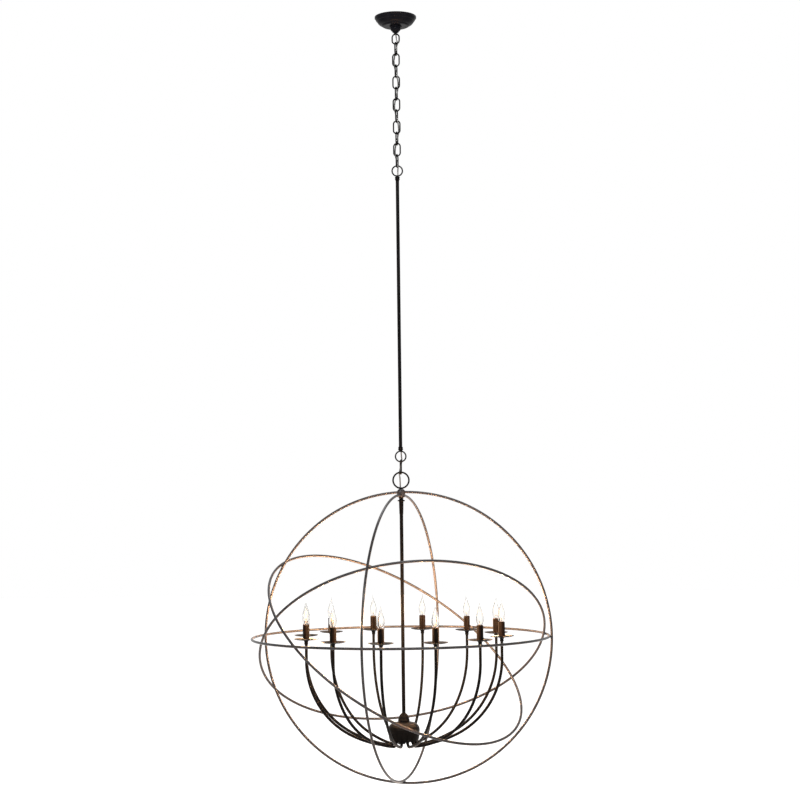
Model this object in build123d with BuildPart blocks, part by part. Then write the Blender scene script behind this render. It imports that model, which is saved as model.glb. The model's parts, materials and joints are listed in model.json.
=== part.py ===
from build123d import *
import os
from math import asin, cos, degrees, pi, radians, sin, sqrt, tan

os.makedirs("parts", exist_ok=True)

# Orb chandelier: a canopy and a chain carry a down rod, and the rod carries a cage of
# five round iron rings with twelve candle lights on curved arms inside it.
# Millimetres, +Z up. The origin is on the ceiling plane, on the hanging axis, so
# every height is negative. Azimuths are measured from +X towards +Y.

# ---------------------------------------------------------------- driving dimensions

# Fits
seat_gap = 0.3            # between two curved faces that hang in one another
part_gap = 0.1            # around a turned part in its bore
face_gap = 0.1            # between two parts that are clamped face to face

# Supply cable
cable_dia = 5.0
cable_bore = 7.0          # hole that the cable is pulled through
cable_offset = 6.6        # from the hanging axis, both ways, where the cable passes a joint
cable_bend = 40.0         # largest bend that the links leave room for
cable_end_bend = 25.0     # the same beside the loops and rings at the ends of the weave

# Ceiling fitting
bar_length = 104.0
bar_width = 20.0
bar_thickness = 2.5
bar_screw_spacing = 79.4  # middle of each slot to middle of the other
bar_slot_length = 14.3
bar_slot_width = 4.8
nipple_dia = 9.6
nipple_bore = 6.6
nipple_length = 50.0
nut_flats = 14.0
nut_height = 4.0
canopy_dia = 150.0
canopy_depth = 35.0
canopy_wall = 1.2
collar_height = 22.0
collar_dia = 44.0
collar_low_dia = 19.0

# Hanging loops, links and chain
wire_dia = 5.0            # of the links and of the loops at the canopy and the rod
loop_width = 31.0
loop_length = 36.5        # between the wire's centres, as all link lengths here
loop_root = 5.0           # collar's lower edge to the loop's upper wire
boss_dia = 11.6
collar_boss_length = 16.0
link_width = 29.0
link_pitch = 40.8
link_count = 11
chain_turn = -15.0        # about the hanging axis: the loop, the links and the weave
connecting_link_length = 49.0
connecting_link_turn = 8.0
rod_ring_dia = 37.0       # between the wire's centres
orb_ring_dia = 56.0
orb_ring_wire = 6.0

# Down rod
rod_dia = 12.3
rod_bore = 9.0
rod_length = 968.0
coupling_dia = 18.0
coupling_length = 13.0
coupling_shoulder = 0.2   # coupling's end to the ring's wire

# Hub at the cage's upper pole
pole_hub_dia = 28.8
pole_hub_height = 29.4
pole_hub_top_dia = 15.0
pole_bore_dia = 13.0
pole_boss_length = 12.0
ring_below_hub_top = 11.2
ring_end_radius = 8.4     # ring's cut end to the hanging axis
pole_collar_dia = 17.8
pole_collar_height = 9.4
pole_flange_dia = 26.0
pole_flange_height = 4.8
ferrule_length = 45.0
ferrule_dia = 16.0
ferrule_low_dia = 13.9

# Cage rings. Each is a round rod; its axis leans from +Z by the tilt, towards the
# azimuth, and its centre is shifted from the orb's centre, as hand-fitted rings are.
ring_rod_dia = 9.0
ring_step = 9.7           # outer ring's radius less the inner upright ring's
outer_ring_radius = 509.0
outer_ring_azimuth = 81.9
outer_ring_shift = 15.0   # along the ring's own plane
inner_ring_azimuth = -15.6
level_ring_extra = 13.5   # radius over the outer ring's
level_ring_shift = (-8.0, 0.0, 0.0)
near_ring_less = 5.0      # radius under the outer ring's
near_ring_tilt = 38.1
near_ring_azimuth = -38.2
near_ring_shift = (-21.0, -1.5, -29.5)
far_ring_less = 4.0
far_ring_tilt = 37.2
far_ring_azimuth = 101.2
far_ring_shift = (0.5, 0.0, -27.5)
weld_dia = 7.0
weld_height = 4.6
weld_edge = 0.8
weld_gap = 0.05
weld_reach = 10.5         # rods whose middles pass further apart than this aren't welded

# Centre stem and hub, with heights from the orb's centre
stem_dia = 12.6
stem_bore = 9.0
stem_low = -313.0
hub_cap_top = -266.0
hub_top = -295.5
hub_low = -362.0
hub_cap_top_dia = 15.0
hub_cap_dia = 41.0
hub_dia = 110.0
hub_shoulder_dia = 78.0
hub_low_dia = 100.0
hub_wall = 2.3
hub_ledge = 3.0           # base plate's upper face above the hub's lower edge
base_thickness = 3.0
finial_height = 14.0
finial_dia = 16.0
finial_stub_dia = 6.0
splice_dia = 14.0
splice_length = 18.0
cable_tail = 8.0          # cable below the stem's end

# Arms and lights, with heights from the orb's centre
arm_count = 12
arm_first_azimuth = 18.0
arm_dia = 10.0
arm_root_radius = 41.0    # where the arm goes up through the base plate
arm_top_radius = 352.0    # where it carries the light
arm_root_top = -351.0
arm_hook_height = -365.0
arm_hook_radius = 13.0
arm_hook_end = 82.0       # degrees of slope from upright at the hook's end
arm_sweep_radius = 430.0
arm_sweep_end = 64.0      # degrees of slope from upright where the second sweep starts
arm_end_height = 7.0
arm_nut_flats = 13.0
arm_nut_height = 4.0
cup_dia = 18.0
cup_height = 14.0
pan_dia = 87.0
pan_rise = 5.0
pan_wall = 1.2
pan_hub_dia = 30.0
sleeve_dia = 23.0
sleeve_wall = 1.2
sleeve_height = 52.0
socket_dia = 17.0
socket_height = 40.0
bulb_base_dia = 11.9
bulb_base_length = 22.0
bulb_base_drop = 10.0     # sleeve's top edge to the bulb base's upper end
bulb_dia = 28.0
bulb_length = 88.0
bulb_glass_wall = 0.9

# ------------------------------------------------------------- heights from the ceiling

collar_low = -canopy_depth - collar_height - face_gap
loop_top = collar_low - loop_root
loop_low = loop_top - loop_length
hang = wire_dia + seat_gap                     # one wire's centre to the next one's
link_length = link_pitch + hang
first_link_top = loop_low + hang
link_tops = [first_link_top - n * link_pitch for n in range(link_count)]
chain_low = link_tops[-1] - link_length
upper_ring_top = chain_low + hang
upper_ring_low = upper_ring_top - rod_ring_dia
coupling_joint = coupling_length / 2           # rod's end from the coupling's end
upper_coupling_top = upper_ring_low - wire_dia / 2 - coupling_shoulder
rod_top = upper_coupling_top - coupling_joint
rod_low = rod_top - rod_length
lower_coupling_low = rod_low - coupling_joint
lower_ring_top = lower_coupling_low - coupling_shoulder - wire_dia / 2
lower_ring_low = lower_ring_top - rod_ring_dia
connecting_top = lower_ring_low + hang
connecting_low = connecting_top - connecting_link_length
orb_ring_top = connecting_low + (wire_dia + orb_ring_wire) / 2 + seat_gap
orb_ring_low = orb_ring_top - orb_ring_dia
pole_hub_top = orb_ring_low - orb_ring_wire / 2 - face_gap
pole_hub_low = pole_hub_top - pole_hub_height
pole_collar_low = pole_hub_low - face_gap - pole_collar_height - pole_flange_height
orb_centre = pole_hub_top - ring_below_hub_top - sqrt(outer_ring_radius**2 - outer_ring_shift**2)


def keep(part, name):
    """Names a finished piece and writes it to its file."""
    part.label = name
    export_step(part, f"parts/{name}.step")


def turned(*steps):
    """A part turned about the Z axis. Each step is the outline's next corner (radius,
    height), or a pair of points: one that an arc passes through, then its end."""
    with BuildPart() as piece:
        with BuildSketch(Plane.XZ):
            with BuildLine():
                here = steps[0]
                for step in (*steps[1:], steps[0]):
                    if isinstance(step[0], tuple):
                        ThreePointArc(here, step[0], step[1])
                        here = step[1]
                    else:
                        Line(here, step)
                        here = step
            make_face()
        revolve(axis=Axis.Z)
    return piece.part


def ball_end(radius, height, depth):
    """Step of an outline: a ball's cap from the radius down to the axis."""
    ball = (radius**2 + depth**2) / (2 * depth)
    half = asin(radius / ball) / 2
    return ((ball * sin(half), height - depth + ball * (1 - cos(half))), (0, height - depth))


# ----------------------------------------------------------------- ceiling fitting

with BuildPart() as mounting_crossbar:
    with BuildSketch():
        RectangleRounded(bar_length, bar_width, 3)
        Circle(nipple_dia / 2 + part_gap, mode=Mode.SUBTRACT)
        with Locations((bar_screw_spacing / 2, 0), (-bar_screw_spacing / 2, 0)):
            SlotOverall(bar_slot_length, bar_slot_width, mode=Mode.SUBTRACT)
    extrude(amount=-bar_thickness)
keep(mounting_crossbar.part, "mounting_crossbar")

with BuildPart() as hanger_nipple:
    with BuildSketch():
        Circle(nipple_dia / 2)
        Circle(nipple_bore / 2, mode=Mode.SUBTRACT)
    extrude(amount=-nipple_length)
keep(hanger_nipple.part, "hanger_nipple")

with BuildPart() as nipple_locknut:
    with BuildSketch(Plane.XY.offset(-bar_thickness - face_gap)):
        RegularPolygon(nut_flats / 2, 6, major_radius=False)
        Circle(nipple_dia / 2 + part_gap, mode=Mode.SUBTRACT)
    extrude(amount=-nut_height)
keep(nipple_locknut.part, "nipple_locknut")


def canopy_line(inset):
    """The canopy's section from its rim to its bottom, moved inwards by the inset."""
    rim = canopy_dia / 2 - inset
    floor = inset - canopy_depth
    return [
        (rim, inset - 5),
        (rim - 2.5, inset - 6.5),
        ((rim - 4, inset - 11), (rim - 6.5, inset - 15)),
        (rim - 8.5, inset - 16),
        ((rim - 13.5, inset - 24), (rim - 22, inset - 29.5)),
        (rim - 24.5, inset - 30.3),
        ((rim - 27.5, inset - 33.6), (rim - 32, floor)),
    ]


outer_line = canopy_line(0)
inner_line = canopy_line(canopy_wall)


def reversed_line(line):
    """The same section, walked from its last point back to its first."""
    ends = [step[1] if isinstance(step[0], tuple) else step for step in line]
    back = [ends[-1]]
    for number in range(len(line) - 1, 0, -1):
        step = line[number]
        back.append((step[0], ends[number - 1]) if isinstance(step[0], tuple) else ends[number - 1])
    return back


canopy_hole = nipple_dia / 2 + part_gap
canopy = turned(
    (canopy_dia / 2 - canopy_wall, 0),
    (canopy_dia / 2, 0),
    *outer_line,
    (canopy_hole, -canopy_depth),
    (canopy_hole, canopy_wall - canopy_depth),
    *reversed_line(inner_line),
)
keep(canopy, "canopy")

collar_top = -canopy_depth - face_gap
collar_bore = boss_dia / 2 + part_gap
canopy_collar = turned(
    (nipple_dia / 2 + part_gap, collar_top),
    (collar_dia / 2 - 2, collar_top),
    ((collar_dia / 2, collar_top - 2), (collar_dia / 2 - 2, collar_top - 4)),
    (collar_dia / 2 - 3.5, collar_top - 4.5),
    ((collar_dia * 0.385, collar_top - 13.5), (collar_low_dia / 2 + 1, collar_low + 3.5)),
    ((collar_low_dia / 2 + 1.8, collar_low + 1.8), (collar_low_dia / 2, collar_low)),
    (collar_bore, collar_low),
    (collar_bore, loop_top + collar_boss_length + face_gap),
    (nipple_dia / 2 + part_gap, loop_top + collar_boss_length + face_gap),
)
keep(canopy_collar, "canopy_collar")

# ------------------------------------------------------------- loops, links and chain


def link_body(length, width, wire):
    """A closed link in the XZ plane: two straight legs joined by two half-round bends."""
    leg = (width - wire) / 2
    straight = (length + wire - width) / 2
    with BuildPart() as link:
        if straight > 0:
            with BuildSketch():
                with Locations(Location((leg, 0, 0), (0, 0, 45)), Location((-leg, 0, 0), (0, 0, 135))):
                    Circle(wire / 2)
            extrude(amount=straight, both=True)
        for end in (1, -1):
            with BuildSketch(Plane.XY.offset(end * straight)):
                with Locations(Location((leg, 0, 0), (0, 0, 45))):
                    Circle(wire / 2)
            revolve(axis=Axis((0, 0, end * straight), (0, -end, 0)), revolution_arc=180)
    return link.part


def boss_root(radius, boss):
    """Degrees from the hanging axis at which a wire's end sits within its boss's wall."""
    return degrees(asin((boss + cable_bore) / 4 / radius))


def bossed_ring(top, diameter, wire, boss, boss_length, boss_up):
    """A round ring whose wire ends in a hollow boss that the cable runs through."""
    way = 1 if boss_up else -1
    radius = diameter / 2
    root = boss_root(radius, boss)
    centre = Vector(0, 0, top - radius)
    turning = Axis(centre, (0, 1, 0))
    first = Vector(0, 0, way).rotate(Axis((0, 0, 0), (0, 1, 0)), root)
    with BuildPart() as ring:
        with BuildSketch(Plane(origin=centre, x_dir=first, z_dir=first.cross(turning.direction))):
            with Locations((radius, 0)):
                Circle(wire / 2)
        revolve(axis=turning, revolution_arc=360 - 2 * root)
        with BuildSketch(Plane.XY.offset(centre.Z + way * (radius - wire / 2))):
            Circle(boss / 2)
            Circle(cable_bore / 2, mode=Mode.SUBTRACT)
        extrude(amount=way * (boss_length + wire / 2))
    return ring.part


loop_leg = (loop_width - wire_dia) / 2
loop_straight = (loop_length + wire_dia - loop_width) / 2
loop_middle = loop_top - loop_length / 2
with BuildPart() as collar_loop:
    with BuildSketch(Plane.XY.offset(loop_middle)):
        with Locations((loop_leg, 0), (-loop_leg, 0)):
            Circle(wire_dia / 2)
    extrude(amount=loop_straight, both=True)
    with BuildSketch(Plane.XY.offset(loop_middle - loop_straight)):
        with Locations((loop_leg, 0)):
            Circle(wire_dia / 2)
    revolve(axis=Axis((0, 0, loop_middle - loop_straight), (0, 1, 0)), revolution_arc=180)
    for side in (1, -1):
        with BuildSketch(Plane.XY.offset(loop_middle + loop_straight)):
            with Locations((side * loop_leg, 0)):
                Circle(wire_dia / 2)
        turning = Axis((0, 0, loop_middle + loop_straight), (0, -side, 0))
        revolve(axis=turning, revolution_arc=90 - boss_root(loop_leg, boss_dia))
    with BuildSketch(Plane.XY.offset(loop_top - wire_dia / 2)):
        Circle(boss_dia / 2)
        Circle(cable_bore / 2, mode=Mode.SUBTRACT)
    extrude(amount=wire_dia / 2 + collar_boss_length)
    with BuildSketch(Plane.XY.offset(-nipple_length - face_gap)):
        Circle(nipple_dia / 2 + part_gap)
    extrude(amount=nipple_length + loop_top + collar_boss_length + face_gap, mode=Mode.SUBTRACT)
keep(Location((0, 0, 0), (0, 0, chain_turn)) * collar_loop.part, "collar_loop")

link = link_body(link_length, link_width, wire_dia)
for number, top in enumerate(link_tops):
    link_azimuth = chain_turn + (90 if number % 2 == 0 else 0)
    chain_link = Location((0, 0, top - link_length / 2), (0, 0, link_azimuth)) * link
    keep(chain_link, f"chain_link_{number + 1:02d}")

connecting_link = link_body(connecting_link_length, link_width, wire_dia)
connecting_middle = connecting_top - connecting_link_length / 2
connecting_azimuth = 90 + connecting_link_turn
keep(Location((0, 0, connecting_middle), (0, 0, connecting_azimuth)) * connecting_link, "connecting_link")

# ------------------------------------------------------------------------- down rod

ring_boss_length = wire_dia / 2 + coupling_shoulder + coupling_joint - face_gap
rod_top_ring = bossed_ring(upper_ring_top, rod_ring_dia, wire_dia, boss_dia, ring_boss_length, False)
keep(rod_top_ring, "rod_top_ring")
rod_bottom_ring = bossed_ring(lower_ring_top, rod_ring_dia, wire_dia, boss_dia, ring_boss_length, True)
keep(rod_bottom_ring, "rod_bottom_ring")


def coupling(ring_end, way):
    """A turned coupling: the ring's boss enters at one end and the rod at the other."""
    outer = coupling_dia / 2
    neck = outer - 1
    boss_hole = boss_dia / 2 + part_gap
    rod_hole = rod_dia / 2 + part_gap
    return turned(
        (boss_hole, ring_end),
        (neck - 1, ring_end),
        ((outer, ring_end + way * 2.5), (neck, ring_end + way * 5)),
        (neck, ring_end + way * (coupling_length - 5)),
        ((outer - 0.3, ring_end + way * (coupling_length - 3.5)), (neck, ring_end + way * (coupling_length - 2))),
        (neck - 0.8, ring_end + way * coupling_length),
        (rod_hole, ring_end + way * coupling_length),
        (rod_hole, ring_end + way * coupling_joint),
        (boss_hole, ring_end + way * coupling_joint),
    )


keep(coupling(upper_coupling_top, -1), "rod_top_coupling")
keep(coupling(lower_coupling_low, 1), "rod_bottom_coupling")

with BuildPart() as down_rod:
    with BuildSketch(Plane.XY.offset(rod_top)):
        Circle(rod_dia / 2)
        Circle(rod_bore / 2, mode=Mode.SUBTRACT)
    extrude(amount=-rod_length)
keep(down_rod.part, "down_rod")

# --------------------------------------------------------------------- cage rings


def tilted_axis(tilt, azimuth):
    """Unit vector that leans from +Z by the tilt, towards the azimuth."""
    lean = sin(radians(tilt))
    return Vector(lean * cos(radians(azimuth)), lean * sin(radians(azimuth)), cos(radians(tilt)))


class CageRing:
    """One ring of the cage: its centre, its axis and its radius."""

    def __init__(self, radius, tilt, azimuth, shift):
        self.radius = radius
        self.axis = tilted_axis(tilt, azimuth)
        self.centre = Vector(*shift) + Vector(0, 0, orb_centre)

    def nearest(self, point):
        """The point of the rod's centre line that is nearest to the given point."""
        offset = point - self.centre
        across = offset - self.axis * offset.dot(self.axis)
        return self.centre + across.normalized() * self.radius

    def way_out(self, start, distance):
        """Direction from the centre to the rod, a distance along it from the start."""
        turn = degrees(distance / self.radius)
        outwards = (self.nearest(start) - self.centre).normalized()
        return outwards.rotate(Axis((0, 0, 0), self.axis), turn)

    def across(self, start, distance):
        """Plane square to the rod at a distance along it from the start."""
        outwards = self.way_out(start, distance)
        return Plane(
            origin=self.centre + outwards * self.radius,
            x_dir=outwards,
            z_dir=self.axis.cross(outwards),
        )

    def rod(self, start, opening):
        """The bent rod, from one end of its opening (a length) round to the other."""
        first = self.way_out(start, opening / 2)
        with BuildPart() as bent:
            with BuildSketch(Plane(origin=self.centre, x_dir=first, z_dir=first.cross(self.axis))):
                with Locations((self.radius, 0)):
                    Circle(ring_rod_dia / 2)
            revolve(axis=Axis(self.centre, self.axis), revolution_arc=360 - degrees(opening / self.radius))
        return bent.part


shift_way = tilted_axis(90, outer_ring_azimuth - 90)
outer_shift = tuple(shift_way * outer_ring_shift)
rings = {
    "outer_upright_ring": CageRing(outer_ring_radius, 90, outer_ring_azimuth, outer_shift),
    "inner_upright_ring": CageRing(outer_ring_radius - ring_step, 90, inner_ring_azimuth, (0, 0, 0)),
    "level_ring": CageRing(outer_ring_radius + level_ring_extra, 0, 0, level_ring_shift),
    "near_tilted_ring": CageRing(
        outer_ring_radius - near_ring_less, near_ring_tilt, near_ring_azimuth, near_ring_shift
    ),
    "far_tilted_ring": CageRing(
        outer_ring_radius - far_ring_less, far_ring_tilt, far_ring_azimuth, far_ring_shift
    ),
}
upper_pole = Vector(0, 0, pole_hub_top - ring_below_hub_top)
upright = ("outer_upright_ring", "inner_upright_ring")


def crossings():
    """Every place where two rings cross: their names and the two nearest points."""
    names = list(rings)
    found = []
    for index, one in enumerate(names):
        for other in names[index + 1:]:
            way = rings[one].axis.cross(rings[other].axis).normalized()
            for side in (way, -way):
                here = Vector(0, 0, orb_centre) + side * outer_ring_radius
                for _ in range(12):
                    there = rings[one].nearest(here)
                    here = rings[other].nearest(there)
                found.append((one, other, there, here))
    return found


welds = []
for one, other, one_point, other_point in crossings():
    apart = one_point - other_point
    at_upper_pole = {one, other} == set(upright) and one_point.Z > orb_centre
    print("crossing", one, other, "clear by", round(apart.length - ring_rod_dia, 2))
    if apart.length > weld_reach or at_upper_pole:
        continue
    middle = Plane(origin=(one_point + other_point) / 2, z_dir=apart)
    with BuildPart() as weld:
        with BuildSketch(middle):
            Circle(weld_dia / 2)
        extrude(amount=weld_height / 2, both=True)
        fillet(weld.edges(), weld_edge)
        for name in (one, other):
            with BuildSketch(rings[name].across(middle.origin, 0).offset(-weld_dia)):
                Circle(ring_rod_dia / 2 + weld_gap)
            extrude(amount=2 * weld_dia, mode=Mode.SUBTRACT)
    welds.append(weld.part)
keep(Compound(children=welds), "ring_welds")

for name, ring in rings.items():
    if name in upright:
        keep(ring.rod(upper_pole, 2 * ring_end_radius), name)
    else:
        keep(ring.rod(ring.centre + Vector(0, ring.radius, 1), 0), name)

# -------------------------------------------------------------- upper pole of the cage

orb_hanging_ring = bossed_ring(
    orb_ring_top,
    orb_ring_dia,
    orb_ring_wire,
    pole_bore_dia - 2 * part_gap,
    pole_boss_length + orb_ring_wire / 2,
    False,
)
keep(orb_hanging_ring, "orb_hanging_ring")

hub_radius = pole_hub_dia / 2
socket_depth = hub_radius - ring_end_radius + part_gap
socket_middle = hub_radius - socket_depth / 2
hub_blank = turned(
    (pole_bore_dia / 2, pole_hub_top),
    (pole_hub_top_dia / 2, pole_hub_top),
    ((hub_radius - 1.9, pole_hub_top - 4), (hub_radius, pole_hub_top - 10)),
    (hub_radius, pole_hub_low + 4),
    ((hub_radius - 1, pole_hub_low + 1.2), (hub_radius - 4, pole_hub_low)),
    (pole_bore_dia / 2, pole_hub_low),
)
with BuildPart() as pole_hub:
    add(hub_blank)
    for name in upright:
        for side in (1, -1):
            with BuildSketch(rings[name].across(upper_pole, side * socket_middle).offset(-side * socket_depth / 2)):
                Circle(ring_rod_dia / 2 + part_gap)
            extrude(amount=side * hub_radius, mode=Mode.SUBTRACT)
keep(pole_hub.part, "pole_hub")

collar_top_radius = pole_collar_dia / 2
collar_face = pole_hub_low - face_gap
pole_collar = turned(
    (stem_dia / 2 + part_gap, collar_face),
    (collar_top_radius - 1, collar_face),
    (collar_top_radius, collar_face - 1),
    (collar_top_radius, collar_face - 2),
    ((collar_top_radius - 1.6, collar_face - 1 - pole_collar_height / 2),
     (collar_top_radius, collar_face - pole_collar_height)),
    (pole_flange_dia / 2 - 1, collar_face - pole_collar_height),
    ((pole_flange_dia / 2, collar_face - pole_collar_height - pole_flange_height / 2),
     (pole_flange_dia / 2 - 1, pole_collar_low)),
    (stem_dia / 2 + part_gap, pole_collar_low),
)
keep(pole_collar, "pole_collar")

ferrule_top = pole_collar_low - face_gap
stem_ferrule = turned(
    (stem_dia / 2 + part_gap, ferrule_top),
    (ferrule_dia / 2, ferrule_top),
    ((ferrule_dia / 2 - 0.4, ferrule_top - ferrule_length / 2),
     (ferrule_low_dia / 2, ferrule_top - ferrule_length)),
    (stem_dia / 2 + part_gap, ferrule_top - ferrule_length),
)
keep(stem_ferrule, "stem_ferrule")

# ------------------------------------------------------------------ stem and lower hub

stem_top = orb_ring_low - orb_ring_wire / 2 - pole_boss_length - face_gap
stem_end = orb_centre + stem_low
with BuildPart() as centre_stem:
    with BuildSketch(Plane.XY.offset(stem_top)):
        Circle(stem_dia / 2)
        Circle(stem_bore / 2, mode=Mode.SUBTRACT)
    extrude(amount=stem_end - stem_top)
keep(centre_stem.part, "centre_stem")

cap_top = orb_centre + hub_cap_top
cap_low = orb_centre + hub_top + face_gap
cap_radius = hub_cap_dia / 2
hub_cap = turned(
    (stem_dia / 2 + part_gap, cap_top),
    (hub_cap_top_dia / 2, cap_top),
    (hub_cap_top_dia / 2 + 1.5, cap_top - 2),
    ((cap_radius - 4.5, cap_top - 10), (cap_radius - 1.5, cap_low + 8)),
    ((cap_radius, cap_low + 4), (cap_radius - 0.6, cap_low)),
    (stem_dia / 2 + part_gap, cap_low),
)
keep(hub_cap, "hub_cap")

body_top = orb_centre + hub_top
body_low = orb_centre + hub_low
body_radius = hub_dia / 2
shoulder = hub_shoulder_dia / 2
low_radius = hub_low_dia / 2
belly = (body_top + body_low) / 2 - 2
hub_body = turned(
    (stem_dia / 2 + part_gap, body_top),
    (shoulder / 2, body_top),
    (shoulder, body_top - 4.5),
    ((body_radius - 4.2, body_top - 14), (body_radius, belly)),
    ((body_radius - 1, belly - 16), (low_radius, body_low)),
    (low_radius - hub_wall, body_low),
    (low_radius - hub_wall, body_low + hub_ledge + part_gap),
    ((body_radius - hub_wall - 1, belly - 12), (body_radius - hub_wall, belly)),
    ((body_radius - hub_wall - 4.4, body_top - 15), (shoulder - 1, body_top - 4.5 - hub_wall)),
    (shoulder / 2 - 1, body_top - hub_wall),
    (stem_dia / 2 + part_gap, body_top - hub_wall),
)
keep(hub_body, "hub_body")

with BuildPart() as stem_nut:
    with BuildSketch(Plane.XY.offset(body_top - hub_wall - face_gap)):
        RegularPolygon(10, 6, major_radius=False)
        Circle(stem_dia / 2 + part_gap, mode=Mode.SUBTRACT)
    extrude(amount=-5)
keep(stem_nut.part, "stem_nut")

base_top = body_low + hub_ledge
with BuildPart() as hub_base:
    with BuildSketch(Plane.XY.offset(base_top)):
        Circle(low_radius - hub_wall - part_gap)
        Circle(finial_stub_dia / 2 + part_gap, mode=Mode.SUBTRACT)
        with PolarLocations(arm_root_radius, arm_count, arm_first_azimuth):
            Circle(arm_dia / 2 + part_gap, mode=Mode.SUBTRACT)
    extrude(amount=-base_thickness)
keep(hub_base.part, "hub_base")

finial_top = base_top - base_thickness - face_gap
hub_finial = turned(
    (0, base_top + 3),
    (finial_stub_dia / 2, base_top + 3),
    (finial_stub_dia / 2, finial_top),
    (finial_dia / 2 - 1, finial_top),
    ((finial_dia / 2, finial_top - 2), (finial_dia / 2 - 2, finial_top - 4)),
    (finial_dia / 2 - 4, finial_top - 5.5),
    ((finial_dia / 2 - 3.6, finial_top - 8), (finial_dia / 2 - 4.5, finial_top - finial_height + 3)),
    ball_end(finial_dia / 2 - 4.5, finial_top - finial_height + 3, 3),
)
keep(hub_finial, "hub_finial")

with BuildPart() as arm_nuts:
    with BuildSketch(Plane.XY.offset(base_top + face_gap)):
        with PolarLocations(arm_root_radius, arm_count, arm_first_azimuth):
            RegularPolygon(arm_nut_flats / 2, 6, major_radius=False, rotation=30)
            Circle(arm_dia / 2 + part_gap, mode=Mode.SUBTRACT)
    extrude(amount=arm_nut_height)
keep(arm_nuts.part, "arm_nuts")

splice_top = stem_end - cable_tail
wire_splice = turned(
    (0, splice_top),
    (splice_dia / 2 - 1, splice_top),
    (splice_dia / 2, splice_top - 1),
    (splice_dia / 2 - 2, splice_top - splice_length + 4),
    ball_end(splice_dia / 2 - 2, splice_top - splice_length + 4, 4),
)
keep(wire_splice, "wire_splice")

# ---------------------------------------------------------------------- arms and lights


def slope(angle):
    """Cosine and sine of a slope that is measured from upright, in degrees."""
    return cos(radians(angle)), sin(radians(angle))


def sweep_point(start, radius, from_slope, to_slope):
    """Where an arc ends that leaves the start at one slope and turns to another."""
    from_cos, from_sin = slope(from_slope)
    to_cos, to_sin = slope(to_slope)
    return (start[0] + radius * (to_cos - from_cos), start[1] + radius * (from_sin - to_sin))


hook_cos, hook_sin = slope(arm_hook_end)
hook_mid_cos, hook_mid_sin = slope((180 + arm_hook_end) / 2)
hook_centre = (arm_root_radius + arm_hook_radius, orb_centre + arm_hook_height)
hook_mid = (hook_centre[0] + arm_hook_radius * hook_mid_cos, hook_centre[1] - arm_hook_radius * hook_mid_sin)
hook_end = (hook_centre[0] + arm_hook_radius * hook_cos, hook_centre[1] - arm_hook_radius * hook_sin)
sweep_slope = (arm_hook_end + arm_sweep_end) / 2
sweep_mid = sweep_point(hook_end, arm_sweep_radius, arm_hook_end, sweep_slope)
sweep_end = sweep_point(hook_end, arm_sweep_radius, arm_hook_end, arm_sweep_end)
rise_radius = (arm_top_radius - sweep_end[0]) / (1 - slope(arm_sweep_end)[0])
rise_mid = sweep_point(sweep_end, rise_radius, arm_sweep_end, arm_sweep_end / 2)
rise_end = sweep_point(sweep_end, rise_radius, arm_sweep_end, 0)
arm_top = orb_centre + arm_end_height

with BuildPart() as arm:
    with BuildLine(Plane.XZ):
        Line((arm_root_radius, orb_centre + arm_root_top), (arm_root_radius, hook_centre[1]))
        ThreePointArc((arm_root_radius, hook_centre[1]), hook_mid, hook_end)
        ThreePointArc(hook_end, sweep_mid, sweep_end)
        ThreePointArc(sweep_end, rise_mid, rise_end)
        Line(rise_end, (arm_top_radius, arm_top))
    with BuildSketch(Plane.XY.offset(orb_centre + arm_root_top)):
        with Locations((arm_root_radius, 0)):
            Circle(arm_dia / 2)
    sweep()

for number in range(arm_count):
    azimuth = arm_first_azimuth + number * 360 / arm_count
    keep(Location((0, 0, 0), (0, 0, azimuth)) * arm.part, f"arm_{number + 1:02d}")


def light_pieces(piece, name):
    """One node that holds a copy of the piece at the top of every arm."""
    with BuildPart() as group:
        with PolarLocations(arm_top_radius, arm_count, arm_first_azimuth):
            add(piece)
    keep(group.part, name)


arm_hole = arm_dia / 2 + part_gap
cup_radius = cup_dia / 2
light_pieces(
    turned(
        (arm_hole, orb_centre - cup_height),
        (arm_hole + 1.4, orb_centre - cup_height),
        ((arm_hole + 2.4, orb_centre - cup_height + 1.5), (arm_hole + 1.4, orb_centre - cup_height + 3)),
        ((arm_hole + 2, orb_centre - 5), (cup_radius, orb_centre - 1.5)),
        (cup_radius, orb_centre),
        (arm_hole, orb_centre),
    ),
    "arm_cups",
)

pan_low = orb_centre + face_gap
pan_edge = pan_dia / 2
light_pieces(
    turned(
        (arm_hole, pan_low),
        (pan_hub_dia / 2, pan_low),
        ((pan_edge * 0.72, pan_low + 0.9), (pan_edge - 2, pan_low + pan_rise - 1.6)),
        (pan_edge, pan_low + pan_rise),
        (pan_edge - 1, pan_low + pan_rise + 0.6),
        ((pan_edge * 0.7, pan_low + 0.9 + pan_wall), (pan_hub_dia / 2 - 0.5, pan_low + pan_wall)),
        (arm_hole, pan_low + pan_wall),
    ),
    "candle_pans",
)

light_low = pan_low + pan_wall + face_gap
sleeve_top = light_low + sleeve_height
sleeve_radius = sleeve_dia / 2
light_pieces(
    turned(
        (sleeve_radius - sleeve_wall, light_low),
        (sleeve_radius, light_low),
        (sleeve_radius, sleeve_top - 0.6),
        (sleeve_radius - 0.6, sleeve_top),
        (sleeve_radius - sleeve_wall, sleeve_top),
    ),
    "candle_sleeves",
)

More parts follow.
